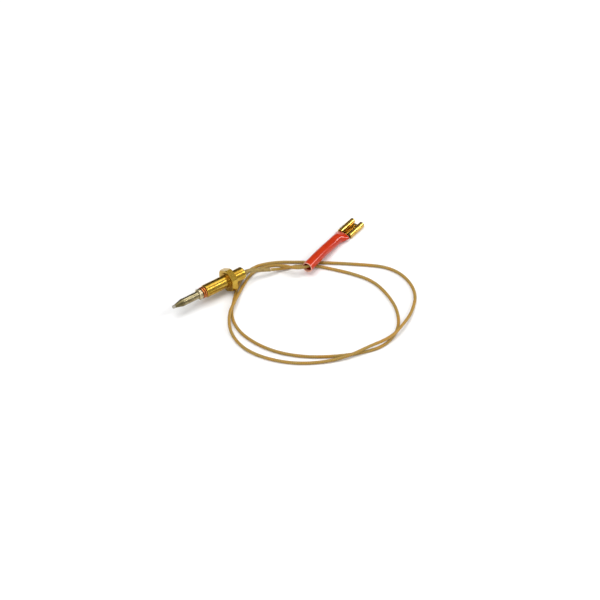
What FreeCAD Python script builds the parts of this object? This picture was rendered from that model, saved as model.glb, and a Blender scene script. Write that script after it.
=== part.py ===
"""Gas hob thermocouple: sensing head, one coiled lead, insulating sleeve and spade receptacle.

Millimetres, +Z up. The head lies along X with its sensing tip towards -X. The origin is
at the bottom centre of the head, on the surface that the head and the lead lie on.
"""
import FreeCAD
import Part
import math
import os

V = FreeCAD.Vector
doc = FreeCAD.newDocument("thermocouple")

# ---------------------------------------------------------------- driving dimensions
DIMENSIONS = [
    # sensing probe
    ("bead_dia", 1.6),          # welded hot junction
    ("bead_standout", 0.55),    # bead centre in front of the nose face
    ("sheath_dia", 3.5),
    ("sheath_bore", 2.5),
    ("nose_length", 4.0),
    ("nose_face_dia", 1.5),
    ("probe_reach", 12.6),      # nose face to collar
    ("core_dia", 0.8),
    ("insulation_start", 3.2),  # nose face to the insulating tube
    ("collar_dia", 5.0),
    ("collar_width", 1.8),
    ("collar_edge", 0.35),      # chamfer of the collar's front and back rims
    ("braze_dia", 5.3),
    ("braze_width", 2.0),
    # turned brass body
    ("shank_dia", 6.0),
    ("shank_length", 12.0),
    ("shank_edge", 0.3),
    ("hex_flats", 10.0),
    ("hex_width", 3.0),
    ("hex_edge", 0.45),         # how far the corner chamfer runs along the axis
    ("shoulder_dia", 7.6),      # turned step in front of the hexagon
    ("shoulder_width", 0.5),
    ("barrel_dia", 6.0),
    ("barrel_length", 6.6),
    ("barrel_edge", 0.5),
    ("chamber_dia", 4.2),       # joint chamber in the back of the body
    ("chamber_depth", 9.0),
    ("sheath_seat", 10.6),      # how far the sheath goes into the body
    # cold junction in the chamber
    ("core_tail", 2.4),         # core wire behind the sheath
    ("splice_dia", 1.9),
    ("splice_length", 4.2),
    ("splice_gap", 0.6),        # sheath end to splice
    ("splice_web", 0.2),        # splice's middle to the lead conductor's end
    ("splice_cover_dia", 2.8),
    ("conductor_dia", 0.7),
    ("bush_length", 3.0),
    ("bush_recess", 0.3),
    # lead
    ("lead_dia", 1.4),
    ("lead_entry", 2.0),        # covered lead inside the body
    ("lead_straight", 2.2),     # straight stretch behind the body, to the route's first corner
    ("exit_sleeve_dia", 1.9),
    ("exit_sleeve_gap", 0.4),   # between the body and the exit sleeve
    ("exit_sleeve_stop", 0.1),  # exit sleeve's end to the lead's third corner
    # insulating sleeve over the receptacle's crimp
    ("boot_dia", 4.9),
    ("boot_wall", 0.4),
    ("boot_end_width", 7.6),    # spread flat at the receptacle's shoulders
    ("boot_end_height", 3.0),
    ("boot_end_back", 0.9),     # where it stops short of the shoulders
    ("boot_lift", 0.05),        # sleeve's flat end above the surface
    # spade receptacle
    ("strip", 0.4),             # sheet thickness
    ("tab_width", 6.3),         # the male tab that it takes
    ("tab_thickness", 0.8),
    ("tab_side_gap", 0.25),
    ("receptacle_length", 10.4),
    ("receptacle_start", 0.6),  # sleeve end to the rolled sides
    ("roll_dia", 2.6),
    ("corner_bend", 0.5),       # inside radius where the floor turns up into the sides
    ("roll_height", 2.9),
    ("neck_width", 1.6),
    ("shoulder_half", 2.6),     # half width of the plate between neck and socket
    ("shoulder_run", 1.0),      # length over which the neck widens to it
    ("shoulder_back", 1.6),     # where the widening begins
    ("neck_rise", 0.75),        # crimp floor above the receptacle's floor
    ("grip_dia", 2.4),
    ("wire_grip_start", 5.2),   # each measured back from the shoulders
    ("wire_grip_length", 2.6),
    ("lead_grip_start", 8.6),
    ("lead_grip_length", 2.4),
    ("lead_grip_overlap", 1.6),  # covered lead inside its grip
    ("lead_last_run", 5.5),     # straight stretch of lead that ends in the grip
    # clearances
    ("fit_gap", 0.03),
    ("loose_gap", 0.1),
    ("weld_overlap", 0.1),      # shared by neighbouring pieces of the bent strip
]

sizes = doc.addObject("Spreadsheet::Sheet", "Sizes")
for row, (alias, number) in enumerate(DIMENSIONS, start=1):
    sizes.set(f"A{row}", alias)
    sizes.set(f"B{row}", str(number))
    sizes.setAlias(f"B{row}", alias)
doc.recompute()


def size(alias):
    """The sheet's value, for geometry that is built from points."""
    return float(sizes.get(alias))


# ---------------------------------------------------------------- stations along the head
# Lengths from the bead's front to the back of the body, in the order they follow each other.
HEAD = [
    "Sizes.bead_dia / 2 + Sizes.bead_standout",
    "Sizes.probe_reach",
    "Sizes.collar_width",
    "Sizes.braze_width",
    "Sizes.shank_length",
    "Sizes.hex_width",
    "Sizes.barrel_length",
]
HEAD_LENGTH = " + ".join(HEAD)


def station(count):
    """Expression for X after the head's first lengths, with the head centred on X = 0."""
    return f"({' + '.join(HEAD[:count])}) - ({HEAD_LENGTH}) / 2"


NOSE = station(1)
COLLAR = station(2)
BRAZE = station(3)
SHANK = station(4)
HEX = station(5)
BARREL = station(6)
BACK = station(7)
AXIS_Z = "Sizes.hex_flats / sqrt(3)"

SHEATH_END = f"{SHANK} + Sizes.sheath_seat"
SPLICE = f"{SHEATH_END} + Sizes.splice_gap"
LEAD_CONDUCTOR = f"{SPLICE} + Sizes.splice_length / 2 + Sizes.splice_web"
LEAD_START = f"{BACK} - Sizes.lead_entry"
BUSH = f"{BACK} - Sizes.bush_recess - Sizes.bush_length"


# ---------------------------------------------------------------- building blocks
def bind(thing, **expressions):
    for name, text in expressions.items():
        thing.setExpression(name, text)


def place(thing, x="0", y="0", z="0"):
    thing.setExpression(".Placement.Base.x", x)
    thing.setExpression(".Placement.Base.y", y)
    thing.setExpression(".Placement.Base.z", z)


ALONG_X = FreeCAD.Rotation(V(0, 1, 0), 90)


def on_axis(thing, x, y="0", z=AXIS_Z):
    """Turns a solid of revolution to run along +X from X = x."""
    thing.Placement = FreeCAD.Placement(V(0, 0, 0), ALONG_X)
    place(thing, x, y, z)
    return thing


def rod(name, dia, length, x, y="0", z=AXIS_Z):
    thing = doc.addObject("Part::Cylinder", name)
    bind(thing, Radius=f"({dia}) / 2", Height=length)
    return on_axis(thing, x, y, z)


def taper(name, dia_1, dia_2, length, x, y="0", z=AXIS_Z):
    thing = doc.addObject("Part::Cone", name)
    bind(thing, Radius1=f"({dia_1}) / 2", Radius2=f"({dia_2}) / 2", Height=length)
    return on_axis(thing, x, y, z)


def block(name, length, width, height, x, y, z):
    thing = doc.addObject("Part::Box", name)
    bind(thing, Length=length, Width=width, Height=height)
    place(thing, x, y, z)
    return thing


def fuse(name, *pieces):
    thing = doc.addObject("Part::MultiFuse", name)
    thing.Shapes = list(pieces)
    thing.Refine = True
    return thing


def cut(name, base, *tools):
    thing = doc.addObject("Part::Cut", name)
    thing.Base = base
    thing.Tool = tools[0] if len(tools) == 1 else fuse(name + "_tools", *tools)
    thing.Refine = True
    return thing


def common(name, first, second):
    thing = doc.addObject("Part::Common", name)
    thing.Base = first
    thing.Tool = second
    return thing


NODES = []


def node(thing, label):
    """Names a finished sub-part; its label is its file's name."""
    thing.Label = label
    NODES.append(thing)
    return thing


def feature(label, shape):
    thing = doc.addObject("Part::Feature", label + "_solid")
    thing.Shape = shape
    return node(thing, label)


def bevelled_rod(name, dia, length, edge, x):
    """A short rod with both rims chamfered; dia, length and edge are expressions."""
    small = f"{dia} - 2 * {edge}"
    front = taper(name + "_front", small, dia, edge, x)
    middle = rod(name + "_middle", dia, f"{length} - 2 * {edge}", f"{x} + {edge}")
    back = taper(name + "_back", dia, small, edge, f"{x} + {length} - {edge}")
    return fuse(name + "_rod", front, middle, back)


# ---------------------------------------------------------------- sensing probe
def make_probe():
    gap = "2 * Sizes.fit_gap"
    core_bore = f"Sizes.core_dia + {gap}"

    nose = taper("nose", "Sizes.nose_face_dia", "Sizes.sheath_dia", "Sizes.nose_length", NOSE)
    tube_length = "Sizes.probe_reach - Sizes.nose_length + Sizes.collar_width"
    tube_length += " + Sizes.braze_width + Sizes.sheath_seat"
    tube = rod("sheath_tube", "Sizes.sheath_dia", tube_length, f"{NOSE} + Sizes.nose_length")
    bore_start = f"{NOSE} + Sizes.insulation_start"
    bore_length = f"{SHEATH_END} - ({bore_start})"
    bore = rod("sheath_inside", "Sizes.sheath_bore", f"{bore_length} + 1", bore_start)
    passage = rod("core_passage", core_bore, "Sizes.insulation_start + 2", f"{NOSE} - 1")
    node(cut("sheath", fuse("sheath_blank", nose, tube), bore, passage), "probe_sheath")

    ball = doc.addObject("Part::Sphere", "bead_ball")
    bind(ball, Radius="Sizes.bead_dia / 2")
    place(ball, f"{NOSE} - Sizes.bead_standout", "0", AXIS_Z)
    behind = rod("bead_back", "Sizes.bead_dia + 1", "Sizes.bead_dia", NOSE)
    node(cut("bead", ball, behind), "junction_bead")

    wire_length = f"{SHEATH_END} + Sizes.core_tail - ({NOSE})"
    node(rod("core", "Sizes.core_dia", wire_length, NOSE), "core_wire")

    filling = rod("filling", f"Sizes.sheath_bore - {gap}", bore_length, bore_start)
    filling_bore = rod("filling_bore", core_bore, f"{bore_length} + 2", f"{bore_start} - 1")
    node(cut("core_filling", filling, filling_bore), "core_insulation")


def make_rings():
    """The pale collar and the copper braze ring between the probe and the brass body."""
    hole = "Sizes.sheath_dia + 2 * Sizes.fit_gap"
    collar = bevelled_rod("collar", "Sizes.collar_dia", "Sizes.collar_width",
                          "Sizes.collar_edge", COLLAR)
    collar_hole = rod("collar_hole", hole, "Sizes.collar_width + 2", f"{COLLAR} - 1")
    node(cut("collar_ring", collar, collar_hole), "sheath_collar")

    bead = "Sizes.braze_width / 4"
    beads = []
    for number in (0, 1):
        torus = doc.addObject("Part::Torus", f"braze_bead_{number + 1}")
        bind(torus, Radius1=f"Sizes.braze_dia / 2 - {bead}", Radius2=bead)
        beads.append(on_axis(torus, f"{BRAZE} + {bead} * {1 + 2 * number}"))
    core = rod("braze_core", f"Sizes.braze_dia - 2 * {bead}", "Sizes.braze_width", BRAZE)
    braze_hole = rod("braze_hole", hole, "Sizes.braze_width + 2", f"{BRAZE} - 1")
    node(cut("braze", fuse("braze_blank", core, *beads), braze_hole), "braze_ring")


# ---------------------------------------------------------------- turned brass body
def make_body():
    shank_front = taper("shank_front", "Sizes.shank_dia - 2 * Sizes.shank_edge",
                        "Sizes.shank_dia", "Sizes.shank_edge", SHANK)
    shank = rod("shank", "Sizes.shank_dia", "Sizes.shank_length - Sizes.shank_edge",
                f"{SHANK} + Sizes.shank_edge")
    shoulder = rod("shoulder", "Sizes.shoulder_dia", "Sizes.shoulder_width",
                   f"{HEX} - Sizes.shoulder_width")

    prism = doc.addObject("Part::Prism", "hex_prism")
    prism.Polygon = 6
    bind(prism, Circumradius="Sizes.hex_flats / sqrt(3)", Height="Sizes.hex_width")
    on_axis(prism, HEX)
    corners = "2 * Sizes.hex_flats / sqrt(3)"
    crown_parts = bevelled_rod("crown", f"({corners})", "Sizes.hex_width",
                               "Sizes.hex_edge", HEX)
    hexagon = common("hexagon", prism, crown_parts)

    barrel = rod("barrel", "Sizes.barrel_dia", "Sizes.barrel_length - Sizes.barrel_edge", BARREL)
    barrel_back = taper("barrel_back", "Sizes.barrel_dia",
                        "Sizes.barrel_dia - 2 * Sizes.barrel_edge",
                        "Sizes.barrel_edge", f"{BACK} - Sizes.barrel_edge")
    blank = fuse("body_blank", shank_front, shank, shoulder, hexagon, barrel, barrel_back)

    seat = rod("body_bore", "Sizes.sheath_dia + 2 * Sizes.fit_gap",
               "Sizes.shank_length + Sizes.hex_width", f"{SHANK} - 1")
    chamber = rod("chamber", "Sizes.chamber_dia", "Sizes.chamber_depth + 1",
                  f"{BACK} - Sizes.chamber_depth")
    node(cut("body_bored", blank, seat, chamber), "hex_body")


# ---------------------------------------------------------------- cold junction
def make_cold_junction():
    gap = "2 * Sizes.fit_gap"
    splice = rod("splice_rod", "Sizes.splice_dia", "Sizes.splice_length", SPLICE)
    core_side = rod("splice_core_bore", f"Sizes.core_dia + {gap}",
                    "Sizes.core_tail - Sizes.splice_gap + 1", f"{SPLICE} - 1")
    lead_side = rod("splice_lead_bore", f"Sizes.conductor_dia + {gap}",
                    "Sizes.splice_length / 2", LEAD_CONDUCTOR)
    node(cut("splice", splice, core_side, lead_side), "splice_crimp")

    cover = rod("cover_rod", "Sizes.splice_cover_dia", "Sizes.splice_length", SPLICE)
    cover_bore = rod("cover_bore", f"Sizes.splice_dia + {gap}", "Sizes.splice_length + 2",
                     f"{SPLICE} - 1")
    node(cut("cover", cover, cover_bore), "splice_cover")

    node(rod("lead_front", "Sizes.conductor_dia", f"{LEAD_START} - ({LEAD_CONDUCTOR})",
             LEAD_CONDUCTOR), "lead_conductor_front")

    bush = rod("bush_rod", f"Sizes.chamber_dia - {gap}", "Sizes.bush_length", BUSH)
    lead_hole = rod("bush_lead_hole", f"Sizes.lead_dia + 2 * Sizes.loose_gap",
                    "Sizes.bush_length + 2", f"{LEAD_START} - Sizes.loose_gap")
    wire_hole = rod("bush_wire_hole", f"Sizes.conductor_dia + {gap}",
                    "Sizes.bush_length + 2", f"{BUSH} - 1")
    node(cut("bush", bush, lead_hole, wire_hole), "rear_bush")


# ---------------------------------------------------------------- routed pieces
def value(expression):
    """The number that a sheet expression stands for."""
    probe = doc.addObject("App::FeaturePython", "reading")
    probe.addProperty("App::PropertyFloat", "result")
    probe.setExpression("result", expression)
    doc.recompute()
    number = probe.result
    doc.removeObject(probe.Name)
    return number


AXIS = value(AXIS_Z)
EXIT_X = value(BACK)
LOW = size("lead_dia") / 2      # the lead's centre where it lies on the surface

# The lead, from inside the body round two loose turns to the receptacle's grip.
LEAD_ROUTE = [
    (EXIT_X - size("lead_entry"), 0.0, AXIS),
    (EXIT_X + size("lead_straight"), 0.0, AXIS),
    (27.5, -1.7, 4.4),
    (35.6, -3.8, 2.0),
    (41.6, -5.0, 0.8),
    (46.6, -7.0, LOW),
    (52.4, -11.6, LOW),
    (57.0, -18.4, LOW),
    (62.2, -26.8, LOW),
    (66.0, -36.5, LOW),
    (65.0, -48.0, LOW),
    (61.2, -59.5, LOW),
    (53.5, -69.2, LOW),
    (42.0, -74.0, LOW),
    (31.0, -71.5, LOW),
    (19.5, -65.5, LOW),
    (9.5, -58.0, LOW),
    (2.0, -48.5, LOW),
    (-2.0, -38.0, LOW),
    (-3.0, -26.5, LOW),
    (0.8, -15.6, LOW),
    (9.0, -7.4, LOW),
    (17.8, 0.8, LOW),
    (28.5, 5.6, LOW),
    (38.5, 2.6, LOW),
    (48.0, -4.8, LOW),
    (58.3, -13.5, LOW),
    (68.3, -22.8, LOW),
    (77.4, -32.2, LOW),
    (79.5, -43.0, LOW),
    (75.6, -55.0, LOW),
    (65.8, -63.8, 1.2),
    (56.5, -69.2, 2.7),
    (46.0, -73.0, 2.7),
    (34.5, -71.6, 2.7),
    (24.0, -70.2, 1.6),
    (12.8, -65.4, LOW),
    (2.5, -58.0, LOW),
    (-5.0, -47.5, LOW),
    (-8.4, -36.5, LOW),
    (-6.4, -24.6, LOW),
    (-0.6, -16.0, 2.7),
    (7.2, -10.5, 2.7),
    (16.4, -3.3, LOW),
    (26.5, 2.8, LOW),
    (34.7, 0.8, 1.6),
    (39.1, -4.9, 3.3),
    (42.0, -11.5, 4.2),
    (48.3, -14.0, 4.5),
    (56.3, -10.4, 3.2),
]

# The receptacle lies flat: its frame starts at its shoulders and runs along the tab.
RECEPTACLE_AT = V(75.9, -2.6, 0.0)
RECEPTACLE_TURN = 16.5          # degrees about Z
GRIP_Z = size("neck_rise") + size("grip_dia") / 2

# The sleeve's centre line, over the two strands that pass under it. Its heights are counted
# from where the round sleeve rests, so that its underside stays in place whatever its diameter.
BOOT_REST = size("boot_dia") / 2 + size("boot_lift")
BOOT_ROUTE = [
    (45.6, -13.7, BOOT_REST + 1.9),
    (55.8, -9.7, BOOT_REST + 1.5),
    (65.6, -5.8, BOOT_REST + 0.1),
    (71.1, -4.05, BOOT_REST),
]
BOOT_END_Z = size("boot_end_height") / 2 + size("boot_lift")


def receptacle_point(x, z):
    """A point on the receptacle's middle plane, in the model's frame."""
    turned = FreeCAD.Rotation(V(0, 0, 1), RECEPTACLE_TURN).multVec(V(x, 0, z))
    return RECEPTACLE_AT + turned


def corner_radii(points):
    """Arc radius at each inner point: 0.45 of the shorter run over tan of half the turn."""
    radii = []
    for before, here, after in zip(points, points[1:], points[2:]):
        arriving = here - before
        leaving = after - here
        shorter = min(arriving.Length, leaving.Length)
        radii.append(0.45 * shorter / math.tan(arriving.getAngle(leaving) / 2))
    return radii


def rounded_wire(points, radii):
    """Straight runs joined by tangent arcs of the given radii."""
    edges = []
    start = points[0]
    for before, here, after, radius in zip(points, points[1:], points[2:], radii):
        back = (before - here).normalize()
        ahead = (after - here).normalize()
        half = math.radians(180 - math.degrees(back.getAngle(ahead))) / 2
        reach = radius * math.tan(half)
        arc_start = here + back * reach
        arc_end = here + ahead * reach
        middle = (back + ahead).normalize()
        centre = here + middle * (radius / math.cos(half))
        edges.append(Part.LineSegment(start, arc_start).toShape())
        edges.append(Part.Arc(arc_start, centre - middle * radius, arc_end).toShape())
        start = arc_end
    edges.append(Part.LineSegment(start, points[-1]).toShape())
    return Part.Wire(edges)


def section(wire, radius):
    """A circle square to the wire at its start."""
    edge = wire.OrderedEdges[0]
    direction = edge.tangentAt(edge.FirstParameter)
    return Part.Wire([Part.makeCircle(radius, wire.OrderedVertexes[0].Point, direction)])


def swept_rod(wire, radius):
    return wire.makePipeShell([section(wire, radius)], True, False)


def swept_tube(wire, radius, bore_radius):
    """A tube in one sweep of its ring-shaped section."""
    ring = Part.Face(section(wire, radius)).cut(Part.Face(section(wire, bore_radius)))
    return wire.makePipe(ring.Faces[0])


def report_route(name, wire, radii, radius, solid):
    expected = math.pi * radius ** 2 * wire.Length
    print(f"{name}: length {wire.Length:.1f}, volume {solid.Volume:.2f} of {expected:.2f}")
    print("  radii", " ".join(f"{r:.1f}" for r in radii))


def make_lead():
    grip_end = -size("lead_grip_start") + size("lead_grip_overlap")
    points = [V(*point) for point in LEAD_ROUTE]
    points.append(receptacle_point(grip_end - size("lead_last_run"), GRIP_Z))
    points.append(receptacle_point(grip_end, GRIP_Z))
    radii = corner_radii(points)
    radius = size("lead_dia") / 2
    wire = rounded_wire(points, radii)
    solid = swept_rod(wire, radius)
    report_route("lead", wire, radii, radius, solid)
    feature("lead_cable", solid)

    # The exit sleeve covers the lead's first two corners and ends before the third.
    start = V(EXIT_X + size("exit_sleeve_gap"), 0, AXIS)
    last = points[3] - points[2]
    reach = radii[2] * math.tan((points[4] - points[3]).getAngle(last) / 2)
    end = points[3] - last.normalize() * (reach + size("exit_sleeve_stop"))
    sleeve_wire = rounded_wire([start, points[1], points[2], end], radii[:2])
    bore_radius = radius + size("loose_gap")
    feature("exit_sleeve", swept_tube(sleeve_wire, size("exit_sleeve_dia") / 2, bore_radius))

    strands_start = receptacle_point(grip_end, GRIP_Z)
    strands_end = receptacle_point(-size("wire_grip_start") + size("wire_grip_length"), GRIP_Z)
    along_strands = strands_end - strands_start
    strands = Part.makeCylinder(size("conductor_dia") / 2, along_strands.Length,
                                strands_start, along_strands)
    feature("lead_conductor_end", strands)


def spread_end(start, direction, radius, width, height):
    """Goes from a circle at start to a flat oval at the receptacle."""
    along = receptacle_point(1, 0) - receptacle_point(0, 0)
    side = V(0, 0, 1).cross(along)
    circle = Part.Circle(start, direction, radius)
    circle.XAxis = side
    centre = receptacle_point(-size("boot_end_back"), BOOT_END_Z)
    oval = Part.Ellipse(centre + side * (width / 2), centre + V(0, 0, height / 2), centre)
    sections = [Part.Wire([circle.toShape()]), Part.Wire([oval.toShape()])]
    return Part.makeLoft(sections, True)


def make_boot():
    points = [V(*point) for point in BOOT_ROUTE]
    direction = (points[-1] - points[-2]).normalize()
    wire = rounded_wire(points, corner_radii(points))
    outer = size("boot_dia") / 2
    wall = size("boot_wall")
    width = size("boot_end_width")
    height = size("boot_end_height")
    inner = outer - wall
    outside = swept_rod(wire, outer).fuse(
        spread_end(points[-1], direction, outer, width, height))
    inside = swept_rod(wire, inner).fuse(
        spread_end(points[-1], direction, inner, width - 2 * wall, height - 2 * wall))
    feature("terminal_boot", outside.cut(inside).removeSplitter())


# ---------------------------------------------------------------- spade receptacle
HALF_WIDTH = "(Sizes.tab_width / 2 + Sizes.tab_side_gap + Sizes.strip)"


def rolled_side(name, sign):
    """One side of the receptacle: bottom corner, wall, arch over the tab and inner lip."""
    start = "Sizes.receptacle_start"
    length = "Sizes.receptacle_length"
    cut_start = f"{start} - 1"
    cut_length = f"{length} + 2"
    strip = "Sizes.strip"

    roll = "Sizes.roll_dia / 2"
    roll_y = f"{sign} * ({HALF_WIDTH} - {roll})"
    roll_z = f"(Sizes.roll_height - {roll})"
    tube = rod(f"{name}_roll", "Sizes.roll_dia", length, start, roll_y, roll_z)
    hollow = rod(f"{name}_hollow", f"Sizes.roll_dia - 2 * {strip}", cut_length, cut_start,
                 roll_y, roll_z)
    below = block(f"{name}_below", cut_length, "Sizes.roll_dia + 2", "Sizes.roll_dia", cut_start,
                  f"{roll_y} - {roll} - 1", f"{roll_z} - Sizes.roll_dia")
    arch = cut(f"{name}_arch", tube, hollow, below)

    bend = "Sizes.corner_bend"
    outer = f"({bend} + {strip})"
    bend_y = f"{sign} * ({HALF_WIDTH} - {outer})"
    quarter = rod(f"{name}_bend", f"2 * {outer}", length, start, bend_y, outer)
    bend_hollow = rod(f"{name}_bend_hollow", f"2 * {bend}", cut_length, cut_start, bend_y, outer)
    above = block(f"{name}_above", cut_length, f"4 * {outer}", f"2 * {outer}", cut_start,
                  f"{bend_y} - 2 * {outer}", outer)
    middle_side = f"{bend_y} - 2 * {outer}" if sign > 0 else bend_y
    inward = block(f"{name}_inward", cut_length, f"2 * {outer}", f"4 * {outer}", cut_start,
                   middle_side, f"-{outer}")
    corner = cut(f"{name}_corner", quarter, bend_hollow, above, inward)

    wall_y = f"{HALF_WIDTH} - {strip}" if sign > 0 else f"-{HALF_WIDTH}"
    wall = block(f"{name}_wall", length, strip, f"{roll_z} - {outer}", start, wall_y, outer)
    lip_bottom = f"({strip} + Sizes.tab_thickness)"
    inner = f"{HALF_WIDTH} - Sizes.roll_dia"
    lip_y = inner if sign > 0 else f"-({inner}) - {strip}"
    lip = block(f"{name}_lip", length, strip, f"{roll_z} - {lip_bottom}", start, lip_y, lip_bottom)
    return [arch, corner, wall, lip]


def make_shoulders():
    """The strip where it widens from the neck to the socket."""
    back = -size("shoulder_back")
    front = size("receptacle_start")
    half = size("shoulder_half")
    neck_half = size("neck_width") / 2
    wide_from = back + size("shoulder_run")
    level = size("neck_rise")
    outline = [(back, -neck_half), (wide_from, -half), (front, -half),
               (front, half), (wide_from, half), (back, neck_half)]
    corners = [V(x, y, level) for x, y in outline]
    plate = Part.Face(Part.makePolygon(corners + corners[:1]))
    shoulders = doc.addObject("Part::Feature", "shoulders")
    shoulders.Shape = plate.extrude(V(0, 0, size("strip")))
    return shoulders


def make_receptacle():
    """Built along X from its shoulders, then laid in its place."""
    start = "Sizes.receptacle_start"
    strip = "Sizes.strip"
    floor_half = f"({HALF_WIDTH} - Sizes.corner_bend - {strip})"
    floor = block("floor", "Sizes.receptacle_length", f"2 * {floor_half}", strip, start,
                  f"-{floor_half}", "0")
    pieces = [floor] + rolled_side("left", 1) + rolled_side("right", -1)

    neck_half = "Sizes.neck_width / 2"
    grip_z = "Sizes.neck_rise + Sizes.grip_dia / 2"
    riser = block("riser", f"{strip} + Sizes.weld_overlap", "2 * Sizes.shoulder_half",
                  f"Sizes.neck_rise + {strip}", f"{start} - {strip}", "-Sizes.shoulder_half", "0")
    neck = block("neck", f"Sizes.lead_grip_start + {start}", "Sizes.neck_width", strip,
                 "-Sizes.lead_grip_start", f"-({neck_half})", "Sizes.neck_rise")
    pieces += [riser, neck, make_shoulders()]
    for grip in ("wire_grip", "lead_grip"):
        pieces.append(rod(grip, "Sizes.grip_dia", f"Sizes.{grip}_length",
                          f"-Sizes.{grip}_start", "0", grip_z))
    wire_bore = rod("wire_bore", "Sizes.conductor_dia + 2 * Sizes.fit_gap",
                    "Sizes.lead_grip_start + 2", "-Sizes.lead_grip_start - 1", "0", grip_z)
    lead_bore = rod("lead_bore", "Sizes.lead_dia + 2 * Sizes.fit_gap",
                    "Sizes.lead_grip_length + 1", "-Sizes.lead_grip_start - 1", "0", grip_z)
    receptacle = cut("receptacle", fuse("receptacle_blank", *pieces), wire_bore, lead_bore)
    turn = FreeCAD.Rotation(V(0, 0, 1), RECEPTACLE_TURN)
    receptacle.Placement = FreeCAD.Placement(RECEPTACLE_AT, turn)
    node(receptacle, "spade_receptacle")


# ---------------------------------------------------------------- build, check, export
make_probe()
make_rings()
make_body()
make_cold_junction()
make_lead()
make_boot()
make_receptacle()
doc.recompute()

for thing in doc.Objects:
    if "Invalid" in thing.State or "Error" in thing.State:
        raise RuntimeError(f"{thing.Name} failed: {thing.State}")
labels = [thing.Label for thing in NODES]
if len(set(labels)) != len(labels):
    raise RuntimeError("two sub-parts share a name")
for thing in NODES:
    shape = thing.Shape
    if shape.isNull() or not shape.isValid() or not shape.Solids:
        raise RuntimeError(f"{thing.Label} has no valid solid")

os.makedirs("parts", exist_ok=True)
for thing in NODES:
    thing.Shape.exportStep(f"parts/{thing.Label}.step")
    box = thing.Shape.BoundBox
    print(f"{thing.Label}: {len(thing.Shape.Solids)} solid, {thing.Shape.Volume:.2f} mm3,",
          f"x {box.XMin:.2f} {box.XMax:.2f} z {box.ZMin:.2f} {box.ZMax:.2f}")
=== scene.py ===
"""Gas hob thermocouple: metal head, two loose turns of thin lead, red sleeve, receptacle."""
import math

import bmesh
import bpy
from mathutils import Matrix, Vector, noise


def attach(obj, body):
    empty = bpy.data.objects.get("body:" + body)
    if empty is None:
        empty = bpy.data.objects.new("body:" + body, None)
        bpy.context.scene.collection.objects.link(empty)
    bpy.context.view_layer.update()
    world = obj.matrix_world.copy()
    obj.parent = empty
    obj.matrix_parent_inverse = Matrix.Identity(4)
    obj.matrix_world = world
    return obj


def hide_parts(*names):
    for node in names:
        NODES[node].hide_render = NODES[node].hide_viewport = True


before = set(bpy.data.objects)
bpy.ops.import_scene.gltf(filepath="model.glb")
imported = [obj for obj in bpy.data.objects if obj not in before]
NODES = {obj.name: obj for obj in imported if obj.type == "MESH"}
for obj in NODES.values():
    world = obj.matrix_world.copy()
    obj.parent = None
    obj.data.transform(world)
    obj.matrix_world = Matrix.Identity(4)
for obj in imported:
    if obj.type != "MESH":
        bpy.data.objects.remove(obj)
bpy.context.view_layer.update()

# ---------------------------------------------------------------- sizes, in metres
AXIS = 0.0057735            # height of the head's axis above the surface
LEAD = 0.0014               # diameters
LOW = LEAD / 2              # the lead's centre where it lies on the surface
SHEATH = 0.0035
SHEATH_BORE = 0.0025
CORE_BORE = 0.00086
SHANK = 0.006
BARREL = 0.006
SHOULDER = 0.0076
HEX_FLATS = 0.010
BODY_BORE = 0.00356
CHAMBER = 0.0042
BOOT = 0.0049
EXIT_SLEEVE = 0.0019
BOOT_WALL = 0.0004          # thicknesses
STRIP = 0.0004
NOSE = -0.018325            # places along the head's axis
COLLAR = -0.005725
BRAZE = -0.003925
BRAZE_BEAD = 0.001          # width of each of the two beads of braze
SHANK_START = -0.001925
SHEATH_END = 0.008675
HEX = 0.010075
BARREL_START = 0.013075
BACK = 0.019675
CARRIERS = 6                # yarns of the braid each way round
BRAID_PITCH = 0.0046        # length in which a yarn goes once round


# ---------------------------------------------------------------- shader maths
class Value:
    """A socket in a node tree, combined with ordinary operators."""

    def __init__(self, nodes, socket):
        self.nodes = nodes
        self.socket = socket

    def math(self, operation, *terms):
        return self.nodes.node("ShaderNodeMath", {"operation": operation}, dict(enumerate(terms)))

    def __add__(self, other):
        return self.math("ADD", self, other)

    def __radd__(self, other):
        return self.math("ADD", other, self)

    def __sub__(self, other):
        return self.math("SUBTRACT", self, other)

    def __rsub__(self, other):
        return self.math("SUBTRACT", other, self)

    def __mul__(self, other):
        return self.math("MULTIPLY", self, other)

    def __rmul__(self, other):
        return self.math("MULTIPLY", other, self)

    def __truediv__(self, other):
        return self.math("DIVIDE", self, other)

    def sine(self):
        return self.math("SINE", self)

    def cosine(self):
        return self.math("COSINE", self)

    def step(self, low, high):
        """0 below low, 1 above high and smooth between."""
        return self.nodes.node(
            "ShaderNodeMapRange",
            {"interpolation_type": "SMOOTHSTEP"},
            {"Value": self, "From Min": low, "From Max": high},
        )


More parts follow.
